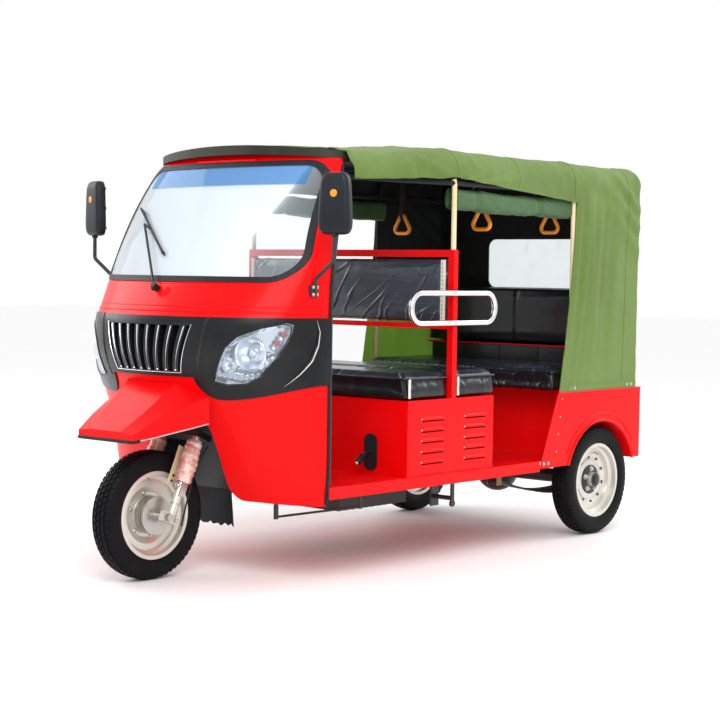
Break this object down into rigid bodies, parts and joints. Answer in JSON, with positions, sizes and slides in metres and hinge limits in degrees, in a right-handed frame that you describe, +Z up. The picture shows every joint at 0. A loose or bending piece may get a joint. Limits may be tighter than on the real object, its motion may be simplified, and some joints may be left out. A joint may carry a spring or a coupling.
{
  "type": "auto rickshaw",
  "caption": "Three-wheeled passenger rickshaw with a steered front wheel, open steel cab, back-to-back benches and a canvas canopy on a tube frame.",
  "frame": {"origin": "on the ground under the middle of the vehicle's length and width", "axes": "+X forward, +Y to the vehicle's left, +Z up"},
  "size_m": [2.9254, 1.5484, 1.7898],
  "materials": {
    "red_paint": "gloss",
    "screen_glass": "clear",
    "black_rubber": "satin",
    "mask_plastic": "satin",
    "grille_plastic": "gloss",
    "lamp_reflector": "bright",
    "lamp_lens": "clear",
    "roof_lip": "satin",
    "black_frame": "satin",
    "black_plastic": "satin",
    "silver_paint": "satin",
    "boot_rubber": "satin",
    "bare_steel": "satin",
    "tyre": "matte",
    "underbody_brown": "satin",
    "black_vinyl": "semi-gloss",
    "polished_tube": "polished",
    "green_canvas": "woven",
    "clear_vinyl": "clear",
    "green_curtain": "coated",
    "cream_tube": "gloss",
    "orange_plastic": "satin",
    "engine_metal": "cast",
    "black_webbing": "woven",
    "lamp_red": "gloss"
  },
  "bodies": {
    "body": {"cab_shell": "red_paint", "windscreen": "screen_glass", "windscreen_seal": "black_rubber", "front_mask": "mask_plastic", "grille": "grille_plastic", "headlamp_bowls": "lamp_reflector", "headlamp_lenses": "lamp_lens", "cab_roof": "roof_lip", "cab_edge_bow": "black_frame", "wheel_well": "black_frame", "mudflap": "black_rubber", "dashboard": "black_plastic", "wiper": "black_plastic", "mirror_heads": "black_plastic", "mirror_arms": "black_frame", "front_mudguard": "red_paint", "steering_head": "black_frame", "rear_axle": "black_frame", "leaf_springs": "black_frame", "spring_hangers": "underbody_brown", "floor_pan": "red_paint", "driver_seat_box": "red_paint", "hand_lever": "black_plastic", "driver_cushions": "black_vinyl", "backrest_frame": "red_paint", "backrest_pad": "black_vinyl", "arm_loops": "polished_tube", "rear_tub": "red_paint", "rear_cushion": "black_vinyl", "rear_backrest": "black_vinyl", "backrest_support": "black_frame", "canopy": "green_canvas", "rear_window": "clear_vinyl", "side_curtain_rolls": "green_curtain", "canopy_frame": "cream_tube", "grab_handles": "orange_plastic", "handle_straps": "black_webbing", "chassis_frame": "underbody_brown", "engine": "engine_metal", "pedal_linkage": "black_frame", "tail_lamps": "lamp_red"},
    "steering": {"fork_legs": "silver_paint", "fork_boots": "boot_rubber", "steering_yoke": "black_frame", "handlebar": "black_frame", "front_axle": "bare_steel"},
    "front_wheel": {"front_tyre": "tyre", "front_rim": "silver_paint"},
    "rear_left_wheel": {"rear_left_tyre": "tyre", "rear_left_rim": "silver_paint"},
    "rear_right_wheel": {"rear_right_tyre": "tyre", "rear_right_rim": "silver_paint"}
  },
  "joints": [
    {"name": "steering_turn", "type": "hinge", "parent": "body", "child": "steering", "pos_m": [1.15501, 0, 0.23513], "axis": [-0.4067, 0, 0.9135], "range_deg": [-40, 40]},
    {"name": "front_wheel_spin", "type": "hinge", "parent": "steering", "child": "front_wheel", "pos_m": [1.20525, 0, 0.2575], "axis": [0, 1, 0], "continuous": true},
    {"name": "rear_left_wheel_spin", "type": "hinge", "parent": "body", "child": "rear_left_wheel", "pos_m": [-1.11925, 0.546, 0.2575], "axis": [0, 1, 0], "continuous": true},
    {"name": "rear_right_wheel_spin", "type": "hinge", "parent": "body", "child": "rear_right_wheel", "pos_m": [-1.11925, -0.546, 0.2575], "axis": [0, 1, 0], "continuous": true}
  ]
}
